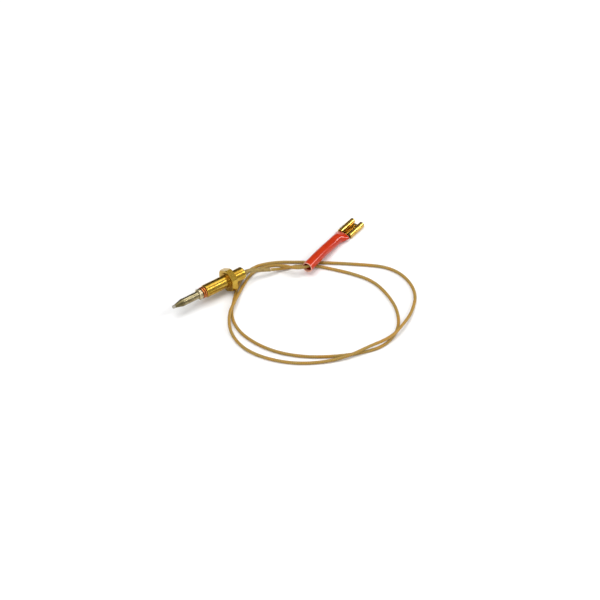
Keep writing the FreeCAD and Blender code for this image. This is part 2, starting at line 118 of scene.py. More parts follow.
class Nodes:
    """A node tree in which one method makes every node."""

    def __init__(self, tree):
        self.tree = tree

    def feed(self, socket, value):
        if isinstance(value, Value):
            self.tree.links.new(value.socket, socket)
        elif socket.type == "RGBA" and len(value) == 3:
            socket.default_value = (*value, 1)
        else:
            socket.default_value = value

    def node(self, kind, settings=None, sockets=None, out=0):
        made = self.tree.nodes.new(kind)
        settings = dict(settings or {})
        stops = settings.pop("stops", None)
        for name, value in settings.items():
            setattr(made, name, value)
        if stops:
            ramp = made.color_ramp
            while len(ramp.elements) < len(stops):
                ramp.elements.new(1)
            for element, (place, colour) in zip(ramp.elements, stops):
                element.position = place
                element.color = (*colour, 1)
        for name, value in (sockets or {}).items():
            self.feed(made.inputs[name], value)
        return Value(self, made.outputs[out])

    def part(self, vector, axis):
        """One coordinate of a vector."""
        return self.node("ShaderNodeSeparateXYZ", None, {"Vector": vector}, out=axis)

    def place(self):
        """Object coordinates."""
        return self.node("ShaderNodeTexCoord", out="Object")

    def uv(self, name):
        """The two coordinates of a UV map."""
        place = self.node("ShaderNodeUVMap", {"uv_map": name})
        return self.part(place, "X"), self.part(place, "Y")

    def noise(self, vector, size, detail=2.0, roughness=0.5):
        """Noise from 0 to 1 with features about size metres across."""
        return self.node(
            "ShaderNodeTexNoise", None,
            {"Vector": vector, "Scale": 1 / size, "Detail": detail, "Roughness": roughness},
        )

    def streaks(self, along, size):
        """Noise that changes only with one coordinate."""
        return self.node(
            "ShaderNodeTexNoise", {"noise_dimensions": "1D"},
            {"W": along, "Scale": 1 / size, "Detail": 2.0},
        )

    def mix(self, factor, first, second):
        return self.node(
            "ShaderNodeMix", {"data_type": "RGBA"},
            {"Factor": factor, 6: first, 7: second}, out=2,
        )

    def ramp(self, factor, *stops):
        return self.node("ShaderNodeValToRGB", {"stops": stops}, {"Fac": factor})


class Finish(Nodes):
    """A material: numbers sit on the shader's own sockets and patterns are linked to them."""

    def __init__(self, name, **sockets):
        self.material = bpy.data.materials.new(name)
        self.material.use_nodes = True
        super().__init__(self.material.node_tree)
        self.shader = self.tree.nodes["Principled BSDF"]
        self.set(**sockets)

    def set(self, **sockets):
        for name, value in sockets.items():
            self.feed(self.shader.inputs[name.replace("_", " ")], value)

    def bump(self, height, depth):
        """Relief of depth metres where height goes from 0 to 1."""
        self.set(Normal=self.node("ShaderNodeBump", None,
                                  {"Height": height, "Distance": depth, "Strength": 1.0}))


# ---------------------------------------------------------------- finishes
def turned_brass():
    """Brass turned on a lathe about the head's axis: fine rings and a soft tarnish."""
    finish = Finish("turned brass", Metallic=1.0)
    fresh, tarnished = (0.54, 0.36, 0.055), (0.38, 0.20, 0.018)
    ring_width = 0.00012
    apart = 3.1                 # keeps the wide rings from lining up with the fine ones
    place = finish.place()
    along = finish.part(place, "X")
    rings = finish.streaks(along, ring_width)
    wide_rings = finish.streaks(along + apart, ring_width * 6)
    tarnish = finish.noise(place, size=0.0026)
    shade = tarnish.step(0.30, 0.75) * 0.8 + wide_rings * 0.2
    finish.set(
        Base_Color=finish.mix(shade, fresh, tarnished),
        Roughness=0.20 + 0.14 * (tarnish - 0.4) + 0.04 * (rings - 0.5),
    )
    finish.bump(rings * 0.7 + wide_rings * 0.3, depth=0.0000003)
    return finish.material


def ground_alloy():
    """Ground nickel alloy, heat-tinted olive towards the nose."""
    finish = Finish("ground nickel alloy", Metallic=1.0)
    light, dark = (0.38, 0.33, 0.19), (0.22, 0.17, 0.08)
    heat_tint = (0.09, 0.07, 0.025)
    tint_full, tint_gone = -0.0152, -0.0128     # along the head's axis
    tint_waver = 0.0025
    place = finish.place()
    along = finish.part(place, "X")
    rings = finish.streaks(along, size=0.00014)
    cloud = finish.noise(place, size=0.0024)
    heat = 1 - (along + tint_waver * (cloud - 0.5)).step(tint_full, tint_gone)
    alloy = finish.mix(cloud.step(0.3, 0.8), light, dark)
    finish.set(
        Base_Color=finish.mix(heat * 0.75, alloy, heat_tint),
        Roughness=0.14 + 0.08 * cloud + 0.14 * heat,
    )
    finish.bump(rings, depth=0.0000003)
    return finish.material


def fused_metal():
    """The weld bead's grainy skin."""
    finish = Finish("fused weld bead", Metallic=1.0)
    light, dark = (0.50, 0.47, 0.40), (0.25, 0.22, 0.17)
    grain = finish.noise(finish.place(), size=0.00022, detail=4.0, roughness=0.6)
    finish.set(
        Base_Color=finish.mix(grain.step(0.35, 0.7), light, dark),
        Roughness=0.30 + 0.25 * grain,
    )
    finish.bump(grain, depth=0.00003)
    return finish.material


def copper_braze():
    """Braze that flowed round the joint: orange copper, with painted shade of darker red in its
    valleys.
    """
    finish = Finish("copper braze", Metallic=1.0)
    red, orange, pale = (0.42, 0.10, 0.020), (0.66, 0.21, 0.055), (0.84, 0.40, 0.14)
    # painted shade: the dark red put where the braze dips between and beside its beads
    valley_shade = (0.13, 0.022, 0.006)
    place = finish.place()
    flow = finish.noise(place, size=0.0009, detail=4.0, roughness=0.6)
    grain = finish.noise(place, size=0.00018, detail=3.0)
    turns = (finish.part(place, "X") - BRAZE) / BRAZE_BEAD
    # painted shade mask: 1 in the valley between the beads and where they meet collar and shank
    valley = 0.5 + 0.5 * (turns * math.tau).cosine()
    copper = finish.ramp(flow, (0.3, red), (0.52, orange), (0.75, pale))
    finish.set(
        Base_Color=finish.mix(valley.step(0.35, 0.9), copper, valley_shade),
        Roughness=0.24 + 0.2 * grain,
    )
    finish.bump(flow * 0.7 + grain * 0.3, depth=0.00002)
    return finish.material


def pale_plating():
    """The collar's plating, with turning rings under it and a brownish bloom."""
    finish = Finish("pale plated collar", Metallic=1.0)
    clean, stained = (0.54, 0.47, 0.30), (0.36, 0.27, 0.13)
    place = finish.place()
    rings = finish.streaks(finish.part(place, "X"), size=0.0001)
    bloom = finish.noise(place, size=0.0008, detail=3.0)
    finish.set(
        Base_Color=finish.mix(bloom.step(0.4, 0.8), clean, stained),
        Roughness=0.22 + 0.15 * bloom,
    )
    finish.bump(rings, depth=0.000003)
    return finish.material


def drawn_wire(name, light, dark):
    """Wire and crimped strip inside the part, slightly grainy."""
    finish = Finish(name, Metallic=1.0)
    grain = finish.noise(finish.place(), size=0.0004, detail=3.0)
    finish.set(Base_Color=finish.mix(grain, light, dark), Roughness=0.25 + 0.2 * grain)
    finish.bump(grain, depth=0.000004)
    return finish.material


def packed_powder():
    """Pressed mineral: the core's insulation and the bush."""
    finish = Finish("packed mineral insulation")
    light, dark = (0.82, 0.80, 0.74), (0.60, 0.57, 0.50)
    grain = finish.noise(finish.place(), size=0.00015, detail=5.0, roughness=0.7)
    finish.set(Base_Color=finish.mix(grain, light, dark), Roughness=0.75 + 0.2 * grain)
    finish.bump(grain, depth=0.00002)
    return finish.material


def white_sleeving():
    """Glass sleeving on the splice, with its threads wound round it."""
    finish = Finish("white glass sleeving")
    thread, groove = (0.80, 0.78, 0.72), (0.62, 0.58, 0.50)
    threads = finish.streaks(finish.part(finish.place(), "X"), size=0.00025)
    finish.set(Base_Color=finish.mix(threads, thread, groove), Roughness=0.6 + 0.2 * threads)
    finish.bump(threads, depth=0.00003)
    return finish.material


def varnished_braid():
    """Amber glass-fibre braid: two sets of yarns cross over and under each other."""
    finish = Finish("varnished glass braid", IOR=1.45, Coat_Weight=0.10, Coat_Roughness=0.25,
                    Specular_IOR_Level=0.3)
    straw, amber, groove = (0.46, 0.30, 0.070), (0.54, 0.29, 0.045), (0.17, 0.095, 0.018)
    along, around = finish.uv("strand")
    right = (around + along / BRAID_PITCH) * CARRIERS
    left = (around - along / BRAID_PITCH) * CARRIERS

    def yarn(turns):
        """1 on the yarn's crown and 0 in the groove beside it."""
        return 0.5 + 0.5 * (turns * math.tau).cosine()

    over = 0.5 + 0.5 * ((right + left) * math.pi).sine()
    weave = yarn(right) * over + yarn(left) * (1 - over)
    girth = 0.004               # about the lead's own, so that the fibres aren't stretched
    fibre_place = finish.node("ShaderNodeCombineXYZ", None, {0: along, 1: around * girth})
    fibres = finish.noise(fibre_place, size=0.00012, detail=3.0)
    cloud = finish.noise(finish.place(), size=0.006, detail=3.0)
    tint = finish.mix(cloud.step(0.38, 0.66), straw, amber)
    finish.set(
        Base_Color=finish.mix((1 - weave) * 0.55 + fibres * 0.2, tint, groove),
        Roughness=0.42 + 0.25 * fibres,
    )
    finish.bump(weave * 0.8 + fibres * 0.2, depth=0.00004)
    return finish.material


def shrunk_cover():
    """Brownish shrink sleeving that ends pale where it is cut."""
    finish = Finish("shrunk exit cover", IOR=1.45, Coat_Weight=0.10, Coat_Roughness=0.2,
                    Specular_IOR_Level=0.35)
    light, dark, pale_cut = (0.33, 0.23, 0.07), (0.22, 0.145, 0.04), (0.80, 0.60, 0.50)
    pale_from, pale_to = 0.0323, 0.0330         # along the head's axis
    place = finish.place()
    cloud = finish.noise(place, size=0.0012, detail=3.0)
    cut = finish.part(place, "X").step(pale_from, pale_to)
    brown = finish.mix(cloud.step(0.35, 0.7), light, dark)
    finish.set(Base_Color=finish.mix(cut, brown, pale_cut), Roughness=0.34 + 0.2 * cloud)
    finish.bump(cloud, depth=0.00003)
    return finish.material


def red_sleeving():
    """Glossy red-orange sleeving, a little clouded, with faint lines drawn along it."""
    finish = Finish("red sleeving", IOR=1.46, Coat_Weight=0.15, Coat_Roughness=0.06,
                    Specular_IOR_Level=0.22)
    light, dark, line = (0.54, 0.036, 0.004), (0.46, 0.024, 0.002), (0.36, 0.010, 0.003)
    around = finish.uv("run")[1]
    lines = finish.streaks(around, size=0.02)
    cloud = finish.noise(finish.place(), size=0.004, detail=3.0)
    red = finish.mix(cloud.step(0.35, 0.7), light, dark)
    finish.set(Base_Color=finish.mix(lines * 0.35, red, line), Roughness=0.16 + 0.10 * cloud)
    finish.bump(lines * 0.6 + cloud * 0.4, depth=0.00002)
    return finish.material


def cut_rim():
    """The sleeving's cut ends, where the bare plastic is pale and matt."""
    finish = Finish("cut sleeving rim", IOR=1.45)
    light, dark = (0.86, 0.50, 0.38), (0.74, 0.33, 0.22)
    grain = finish.noise(finish.place(), size=0.0003, detail=3.0)
    finish.set(Base_Color=finish.mix(grain, light, dark), Roughness=0.55 + 0.2 * grain)
    finish.bump(grain, depth=0.00002)
    return finish.material


def stamped_brass():
    """Rolled brass strip with its rolling lines along the receptacle."""
    finish = Finish("stamped brass strip", Metallic=1.0)
    bright, dull = (0.66, 0.43, 0.10), (0.44, 0.25, 0.04)
    across = finish.uv("run")[1]
    lines = finish.streaks(across, size=0.00012)
    cloud = finish.noise(finish.place(), size=0.0022)
    finish.set(
        Base_Color=finish.mix(cloud.step(0.35, 0.75), bright, dull),
        Roughness=0.15 + 0.10 * cloud + 0.05 * lines,
    )
    finish.bump(lines, depth=0.0000008)
    return finish.material


def pale_paper():
    """The floor."""
    finish = Finish("pale paper", Roughness=0.9)
    light, dark = (0.93, 0.93, 0.93), (0.90, 0.90, 0.90)
    paper = finish.noise(finish.place(), size=0.02, detail=3.0)
    finish.set(Base_Color=finish.mix(paper, light, dark))
    return finish.material


BRASS = turned_brass()
ALLOY = ground_alloy()
WELD = fused_metal()
COPPER = copper_braze()
PLATED = pale_plating()
CORE = drawn_wire("core alloy wire", (0.52, 0.49, 0.43), (0.36, 0.33, 0.28))
STRANDS = drawn_wire("bare copper strands", (0.86, 0.42, 0.24), (0.62, 0.25, 0.12))
SPLICE = drawn_wire("plated splice", (0.72, 0.62, 0.42), (0.55, 0.45, 0.28))
POWDER = packed_powder()
SLEEVING = white_sleeving()
BRAID = varnished_braid()
EXIT_COVER = shrunk_cover()
RED = red_sleeving()
RIM = cut_rim()
STRIP_BRASS = stamped_brass()


# ---------------------------------------------------------------- mesh building
DOUBLES = 2e-7              # corners nearer than this are one
CRISP = math.radians(35)    # edges sharper than this stay crisp
UPWARD = Vector((0, 0, 1))


def make_piece(name, mesh, *materials):
    for material in materials:
        mesh.materials.append(material)
    piece = bpy.data.objects.new(name, mesh)
    bpy.context.scene.collection.objects.link(piece)
    return piece


def mesh_from(shape, name):
    """Closes a bmesh: doubles merged, faces outwards and smooth up to a crisp edge."""
    bmesh.ops.remove_doubles(shape, verts=shape.verts, dist=DOUBLES)
    bmesh.ops.dissolve_degenerate(shape, edges=shape.edges, dist=DOUBLES / 2)
    bmesh.ops.recalc_face_normals(shape, faces=shape.faces)
    for face in shape.faces:
        face.smooth = True
    mesh = bpy.data.meshes.new(name)
    shape.to_mesh(mesh)
    shape.free()
    mesh.set_sharp_from_angle(angle=CRISP)
    return mesh


def eased(points, radius, steps=4):
    """A closed 2-D outline, its corners rounded, and a point beside each so flats stay flat."""
    support = 0.00003           # how far beside the rounding that point is
    most = 0.45                 # share of a side that its corner may round off
    result = []
    for index, point in enumerate(points):
        here = Vector(point)
        back = Vector(points[index - 1]) - here
        ahead = Vector(points[(index + 1) % len(points)]) - here
        reach = min(radius, back.length * most, ahead.length * most)
        back_room = min(support, back.length / 2 - reach * 0.9)
        ahead_room = min(support, ahead.length / 2 - reach * 0.9)
        start = here + back.normalized() * reach
        end = here + ahead.normalized() * reach
        if back_room > 0:
            result.append(start + back.normalized() * back_room)
        for step in range(steps + 1):
            t = step / steps
            result.append(start.lerp(here, t).lerp(here.lerp(end, t), t))
        if ahead_room > 0:
            result.append(end + ahead.normalized() * ahead_room)
    return result


def lathe(name, outline, closed=True, around=96, uneven=None):
    """Turns an outline of (x, radius) points about the head's axis."""
    shape = bmesh.new()
    rings = []
    for x, radius in outline:
        if radius < DOUBLES:
            rings.append([shape.verts.new((x, 0, AXIS))])
            continue
        ring = []
        for step in range(around):
            angle = math.tau * step / around
            reach = radius + (uneven(x, radius, angle) if uneven else 0)
            ring.append(shape.verts.new((x, reach * math.cos(angle),
                                         AXIS + reach * math.sin(angle))))
        rings.append(ring)
    pairs = list(zip(rings, rings[1:]))
    if closed:
        pairs.append((rings[-1], rings[0]))
    for first, second in pairs:
        for step in range(around):
            after = (step + 1) % around
            corners = [first[step % len(first)], first[after % len(first)],
                       second[after % len(second)], second[step % len(second)]]
            corners = list(dict.fromkeys(corners))
            if len(corners) > 2:
                shape.faces.new(corners)
    return mesh_from(shape, name)


def spline_curve(name, points, resolution):
    """A smooth curve with the points as its control points."""
    curve = bpy.data.curves.new(name, "CURVE")
    curve.dimensions = "3D"
    curve.resolution_u = resolution
    spline = curve.splines.new("NURBS")
    spline.points.add(len(points) - 1)
    for target, point in zip(spline.points, points):
        target.co = (*point, 1)
    spline.order_u = 3
    spline.use_endpoint_u = True
    return curve


def smooth_line(name, points, resolution):
    """Places along a NURBS spline that has the points as its control points."""
    curve = spline_curve(name, points, resolution)
    holder = bpy.data.objects.new(name, curve)
    mesh = bpy.data.meshes.new_from_object(holder)
    line = [vertex.co.copy() for vertex in mesh.vertices]
    bpy.data.objects.remove(holder)
    bpy.data.meshes.remove(mesh)
    return line


def measured(line):
    """Distance of each place along the line from its start."""
    total = [0.0]
    for here, after in zip(line, line[1:]):
        total.append(total[-1] + (after - here).length)
    return total


def station(line, total, distance):
    """Place and direction at a distance along the line."""
    distance = max(0.0, min(total[-1], distance))
    index = 0
    while index < len(total) - 2 and total[index + 1] < distance:
        index += 1
    run = line[index + 1] - line[index]
    part = (distance - total[index]) / run.length
    before = line[max(index - 1, 0)]
    after = line[min(index + 2, len(line) - 1)]
    return line[index].lerp(line[index + 1], part), (after - before).normalized()


def filled(outline, step):
    """The outline with long stretches divided, so that a sleeve bends with its line."""
    result = []
    for here, after in zip(outline, outline[1:] + outline[:1]):
        parts = max(1, math.ceil(abs(after[0] - here[0]) / step))
        result += [here.lerp(after, part / parts) for part in range(parts)]
    return result


def sleeve_on(line, outline, around, section=None):
    """A hollow sleeve on a line; outline is a closed loop of (distance, radius) points."""
    uv_per_metre = 20
    total = measured(line)
    shape = bmesh.new()
    run = shape.loops.layers.uv.new("run")
    rings = []
    for distance, radius in outline:
        centre, direction = station(line, total, distance)
        side = direction.cross(UPWARD).normalized()
        upward = side.cross(direction)
        ring = []
        for step in range(around):
            angle = math.tau * step / around
            wide, tall = section(distance, radius, angle) if section else (radius, radius)
            ring.append(shape.verts.new(centre + side * (wide * math.cos(angle))
                                        + upward * (tall * math.sin(angle))))
        rings.append(ring)
    rings.append(rings[0])
    distances = [distance for distance, _ in outline] + [outline[0][0]]
    for index, (first, second) in enumerate(zip(rings, rings[1:])):
        for step in range(around):
            after = (step + 1) % around
            face = shape.faces.new([first[step], first[after], second[after], second[step]])
            places = [(distances[index], step), (distances[index], step + 1),
                      (distances[index + 1], step + 1), (distances[index + 1], step)]
            for loop, (distance, turn) in zip(face.loops, places):
                loop[run].uv = (distance * uv_per_metre, turn / around)
    return shape


# ---------------------------------------------------------------- camera, light and floor
TARGET = Vector((0.032258, -0.025531, 0))
DISTANCE = 1.3
FIELD = 0.2688              # width of the view at the target
TURN = math.radians(-38.2)
RISE = math.radians(40)

toward_viewer = Vector((math.sin(TURN), -math.cos(TURN), 0))
away = toward_viewer * math.cos(RISE) + UPWARD * math.sin(RISE)
lens = bpy.data.cameras.new("view")
lens.sensor_width = 36
lens.lens = lens.sensor_width / 2 / (FIELD / 2 / DISTANCE)
lens.clip_start = 0.05
camera = bpy.data.objects.new("view", lens)
camera.location = TARGET + away * DISTANCE
camera.rotation_euler = (-away).to_track_quat("-Z", "Y").to_euler()
bpy.context.scene.collection.objects.link(camera)
bpy.context.scene.camera = camera


def softbox(name, place, width, height, power):
    """A white rectangular light that faces the object."""
    light = bpy.data.lights.new(name, "AREA")
    light.shape = "RECTANGLE"
    light.size = width
    light.size_y = height
    light.energy = power
    lamp = bpy.data.objects.new(name, light)
    lamp.location = place
    lamp.rotation_euler = (TARGET - Vector(place)).to_track_quat("-Z", "Y").to_euler()
    bpy.context.scene.collection.objects.link(lamp)


softbox("overhead softbox", (0.0, 0.10, 1.1), 1.3, 0.9, 9.0)
softbox("left softbox", (-0.85, -0.35, 0.55), 0.20, 0.8, 1.6)
softbox("right softbox", (0.90, -0.44, 0.62), 0.16, 0.5, 2.6)
softbox("front strip", (0.58, -0.66, 0.78), 0.12, 0.35, 1.0)
softbox("low strip", (1.03, -0.37, 0.45), 0.20, 0.14, 2.2)

# The walls are dark behind the object and pale on the viewer's side.
DARK_WALL = (0.06, 0.06, 0.06)
PALE_WALL = (0.62, 0.62, 0.62)
world = bpy.data.worlds.new("studio")
world.use_nodes = True
bpy.context.scene.world = world
walls = Nodes(world.node_tree)
bright_side = toward_viewer + UPWARD * 0.35
facing = walls.node("ShaderNodeVectorMath", {"operation": "DOT_PRODUCT"},
                    {0: walls.node("ShaderNodeTexCoord", out="Generated"), 1: bright_side},
                    out="Value")
wall_shade = walls.ramp(0.5 + 0.5 * facing, (0.05, DARK_WALL), (0.9, PALE_WALL))
walls.feed(world.node_tree.nodes["Background"].inputs["Color"], wall_shade)
bpy.context.scene.view_settings.view_transform = "Standard"

FLOOR_REACH = 3
floor_mesh = bpy.data.meshes.new("floor")
floor_mesh.from_pydata([(x * FLOOR_REACH, y * FLOOR_REACH, 0)
                        for x, y in ((-1, -1), (1, -1), (1, 1), (-1, 1))], [], [(0, 1, 2, 3)])
make_piece("floor", floor_mesh, pale_paper())

# ---------------------------------------------------------------- the lead
ROUTE_STEPS = 12            # places on the spline for each point of the route
ROUTE = [
    (0.017675, 0.0, AXIS),
    (0.021875, 0.0, AXIS),
    (0.0275, -0.0017, 0.0044),
    (0.0356, -0.0038, 0.0020),
    (0.0416, -0.0050, 0.0008),
    (0.0466, -0.0070, LOW),
    (0.0524, -0.0116, LOW),
    (0.0570, -0.0184, LOW),
    (0.0622, -0.0268, LOW),
    (0.0660, -0.0365, LOW),
    (0.0650, -0.0480, LOW),
    (0.0612, -0.0595, LOW),
    (0.0535, -0.0692, LOW),
    (0.0420, -0.0740, LOW),
    (0.0310, -0.0715, LOW),
    (0.0195, -0.0655, LOW),
    (0.0095, -0.0580, LOW),
    (0.0020, -0.0485, LOW),
    (-0.0020, -0.0380, LOW),
    (-0.0030, -0.0265, LOW),
    (0.0008, -0.0156, LOW),
    (0.0090, -0.0074, LOW),
    (0.0178, 0.0008, LOW),
    (0.0285, 0.0056, LOW),
    (0.0385, 0.0026, LOW),
    (0.0480, -0.0048, LOW),
    (0.0583, -0.0135, LOW),
    (0.0683, -0.0228, LOW),
    (0.0774, -0.0322, LOW),
    (0.0795, -0.0430, LOW),
    (0.0756, -0.0550, LOW),
    (0.0658, -0.0638, 0.0012),
    (0.0565, -0.0692, 0.0027),
    (0.0460, -0.0730, 0.0027),
    (0.0345, -0.0716, 0.0027),
    (0.0240, -0.0702, 0.0016),
    (0.0128, -0.0654, LOW),
    (0.0025, -0.0580, LOW),
    (-0.0050, -0.0475, LOW),
    (-0.0084, -0.0365, LOW),
    (-0.0064, -0.0246, LOW),
    (-0.0006, -0.0160, 0.0027),
    (0.0072, -0.0105, 0.0027),
    (0.0164, -0.0033, LOW),
    (0.0265, 0.0028, LOW),
    (0.0347, 0.0008, 0.0016),
    (0.0391, -0.0049, 0.0033),
    (0.0420, -0.0115, 0.0042),
    (0.0483, -0.0140, 0.0045),
    (0.0563, -0.0104, 0.0032),
    (0.063915, -0.006150, 0.00195),
    (0.069188, -0.004588, 0.00195),
]


class Tree:
    """A Geometry Nodes tree with named inputs."""

    def __init__(self, name):
        self.group = bpy.data.node_groups.new(name, "GeometryNodeTree")
        sockets = self.group.interface
        sockets.new_socket("Geometry", in_out="INPUT", socket_type="NodeSocketGeometry")
        sockets.new_socket("Geometry", in_out="OUTPUT", socket_type="NodeSocketGeometry")
        self.inputs = self.group.nodes.new("NodeGroupInput")
        self.output = self.group.nodes.new("NodeGroupOutput")
        self.values = {}

    def number(self, name, value):
        socket = self.group.interface.new_socket(name, in_out="INPUT",
                                                 socket_type="NodeSocketFloat")
        self.values[socket.identifier] = value
        return self.inputs.outputs[name]

    def node(self, kind, settings=None, sockets=None, out=0):
        made = self.group.nodes.new(kind)
        for name, value in (settings or {}).items():
            setattr(made, name, value)
        for name, value in (sockets or {}).items():
            if isinstance(value, bpy.types.NodeSocket):
                self.group.links.new(value, made.inputs[name])
            else:
                made.inputs[name].default_value = value
        return made.outputs[out]

    def math(self, operation, *terms):
        return self.node("ShaderNodeMath", {"operation": operation}, dict(enumerate(terms)))

    def kept(self, geometry, value):
        """The geometry with a value captured on its points, and that value."""
        made = self.group.nodes.new("GeometryNodeCaptureAttribute")
        made.capture_items.new("FLOAT", "kept")
        self.group.links.new(geometry, made.inputs[0])
        self.group.links.new(value, made.inputs[1])
        return made.outputs[0], made.outputs[1]

    def finish(self, geometry, material):
        """Ends the tree in real geometry with its material."""
        real = self.node("GeometryNodeRealizeInstances", None, {0: geometry})
        painted = self.node("GeometryNodeSetMaterial", None,
                            {"Geometry": real, "Material": material})
        self.group.links.new(painted, self.output.inputs[0])

    def applied(self, name, holder):
        """A plain mesh object with what the tree makes of the holder."""
        bpy.context.scene.collection.objects.link(holder)
        modifier = holder.modifiers.new(name, "NODES")
        modifier.node_group = self.group
        for identifier, value in self.values.items():
            modifier[identifier] = value
        seen = holder.evaluated_get(bpy.context.evaluated_depsgraph_get())
        mesh = bpy.data.meshes.new_from_object(seen)
        bpy.data.objects.remove(holder)
        piece = bpy.data.objects.new(name, mesh)
        bpy.context.scene.collection.objects.link(piece)
        return piece


def braided_lead():
    """The braid's two sets of yarns, as relief on a tube that follows the route."""
    facets = 37
    doubles = 0.000001
    tree = Tree("braided lead")
    diameter = tree.number("Diameter", LEAD)
    carriers = tree.number("Carriers", float(CARRIERS))
    pitch = tree.number("Pitch", BRAID_PITCH)
    relief = tree.number("Relief", 0.00005)
    spacing = tree.number("Spacing", 0.00034)
    path = tree.node("GeometryNodeResampleCurve", {"mode": "LENGTH"},
                     {"Curve": tree.inputs.outputs[0], "Length": spacing})
    length = tree.node("GeometryNodeSplineParameter", out="Length")
    path, along = tree.kept(path, length)
    radius = tree.math("MULTIPLY", diameter, 0.5)
    section = tree.node("GeometryNodeCurveArc", {"mode": "RADIUS"},
                        {"Resolution": facets, "Radius": radius, "Sweep Angle": math.tau})
    turn = tree.node("GeometryNodeSplineParameter", out="Factor")
    section, around = tree.kept(section, turn)
    tube = tree.node("GeometryNodeCurveToMesh", None, {"Curve": path, "Profile Curve": section})
    place = tree.node("ShaderNodeCombineXYZ", None, {0: along, 1: around})
    tube = tree.node("GeometryNodeStoreNamedAttribute",
                     {"data_type": "FLOAT2", "domain": "CORNER"},
                     {"Geometry": tube, "Name": "strand", "Value": place})
    tube = tree.node("GeometryNodeMergeByDistance", None,
                     {"Geometry": tube, "Distance": doubles})
    turns = tree.math("DIVIDE", along, pitch)
    crowns = []
    for operation in ("ADD", "SUBTRACT"):
        phase = tree.math("MULTIPLY", tree.math(operation, around, turns), carriers)
        crowns.append(tree.math("COSINE", tree.math("MULTIPLY", phase, math.tau)))
    depth = tree.math("SUBTRACT", tree.math("MAXIMUM", *crowns), 1.0)
    depth = tree.math("MULTIPLY", tree.math("MULTIPLY", depth, 0.5), relief)
    normal = tree.node("GeometryNodeInputNormal")
    offset = tree.node("ShaderNodeVectorMath", {"operation": "SCALE"},
                       {0: normal, "Scale": depth})
    tube = tree.node("GeometryNodeSetPosition", None, {"Geometry": tube, "Offset": offset})
    tree.finish(tube, BRAID)
    holder = bpy.data.objects.new("lead route", spline_curve("lead route", ROUTE, ROUTE_STEPS))
    piece = tree.applied("braided_lead", holder)
    closed = bmesh.new()
    closed.from_mesh(piece.data)
    bmesh.ops.holes_fill(closed, edges=[edge for edge in closed.edges if edge.is_boundary])
    if closed.calc_volume(signed=True) < 0:
        bmesh.ops.reverse_faces(closed, faces=closed.faces)
    for face in closed.faces:
        face.smooth = True
    closed.to_mesh(piece.data)
    closed.free()
    return piece


lead_line = smooth_line("lead line", ROUTE, ROUTE_STEPS)
lead = braided_lead()


# ---------------------------------------------------------------- sleeve at the exit
def make_exit_sleeve():
    """Shrunk over the lead behind the body, a little thinner towards its far end."""
    start = 0.00231             # along the lead from its start inside the body
    end = 0.01590
    taper = 0.0030
    radius = EXIT_SLEEVE / 2
    bore = LEAD / 2 + 0.00006
    outline = eased([
        (start, bore), (start, radius * 1.04), (start + taper, radius * 1.02),
        (end - taper, radius * 0.96), (end, radius * 0.92), (end, bore),
    ], radius=0.00008)
    shape = sleeve_on(lead_line, filled(outline, step=0.0005), around=36)
    return make_piece("exit_cover", mesh_from(shape, "exit cover"), EXIT_COVER)


exit_sleeve = make_exit_sleeve()

# ---------------------------------------------------------------- red sleeve over the crimp
BOOT_ROUTE = [
    (0.0456, -0.0137, 0.0044),
    (0.0558, -0.0097, 0.0040),
    (0.0656, -0.0058, 0.0026),
    (0.0711, -0.00405, 0.0025),
    (0.0736, -0.003285, 0.00186),
    (0.075037, -0.002856, 0.00155),
]
BOOT_STEPS = 16             # places on the spline for each point of the route
BOOT_END_WIDTH = 0.0076
BOOT_END_HEIGHT = 0.0030
RIM_DEPTH = 0.00016         # pale edge left by the cut
MOUTH_DEPTH = 0.0011        # how far the paleness goes into the bore
SPREAD = 0.0050             # length over which the sleeve goes from round to flat


def pale_ends(sleeve, line, bore):
    """Gives the cut edges at both ends, and the open mouth at the start, their pale finish."""
    ends = ((line[0], (line[1] - line[0]).normalized(), True),
            (line[-1], (line[-1] - line[-2]).normalized(), False))
    for polygon in sleeve.data.polygons:
        corners = [sleeve.data.vertices[index].co for index in polygon.vertices]
        middle = sum(corners, Vector()) / len(corners)
        for end, direction, is_mouth in ends:
            along = abs((middle - end).dot(direction))
            aside = ((middle - end).length_squared - along ** 2) ** 0.5
            in_mouth = is_mouth and aside < bore + RIM_DEPTH
            if along < (MOUTH_DEPTH if in_mouth else RIM_DEPTH):
                polygon.material_index = 1


def make_boot():
    """Round over the strands, spread flat at the receptacle, and slightly uneven."""
    line = smooth_line("boot line", BOOT_ROUTE, BOOT_STEPS)
    length = measured(line)[-1]
    spread_start = length - SPREAD
    outer = BOOT / 2
    inner = outer - BOOT_WALL
    mouth = 0.003               # length over which the open end draws in
    unevenness = 0.012          # share of the radius
    outline = eased([
        (0.0, inner), (0.0, outer * 0.985), (mouth, outer), (spread_start, outer),
        (length, outer), (length, inner), (spread_start, inner), (mouth, inner),
    ], radius=0.00014)

    def section(distance, radius, angle):
        """Half width and half height: round, and a flat oval at the receptacle's shoulders."""
        spread = max(0.0, (distance - spread_start) / SPREAD)
        spread = spread * spread * (3 - 2 * spread)
        inset = outer - radius
        wide = radius + spread * (BOOT_END_WIDTH / 2 - inset - radius)
        tall = radius + spread * (BOOT_END_HEIGHT / 2 - inset - radius)
        place = (distance * 300, math.cos(angle), math.sin(angle))
        wobble = 1 + unevenness * noise.noise(place)
        return wobble * wide, wobble * tall

    shape = sleeve_on(line, filled(outline, step=0.0006), around=64, section=section)
    sleeve = make_piece("red_sleeve", mesh_from(shape, "red sleeve"), RED, RIM)
    pale_ends(sleeve, line, inner)
    return sleeve


boot = make_boot()


# ---------------------------------------------------------------- the head's turned pieces
COLLAR_BORE = 0.00178       # radii
COLLAR_RADIUS = 0.0025
BRAZE_RADIUS = 0.00265


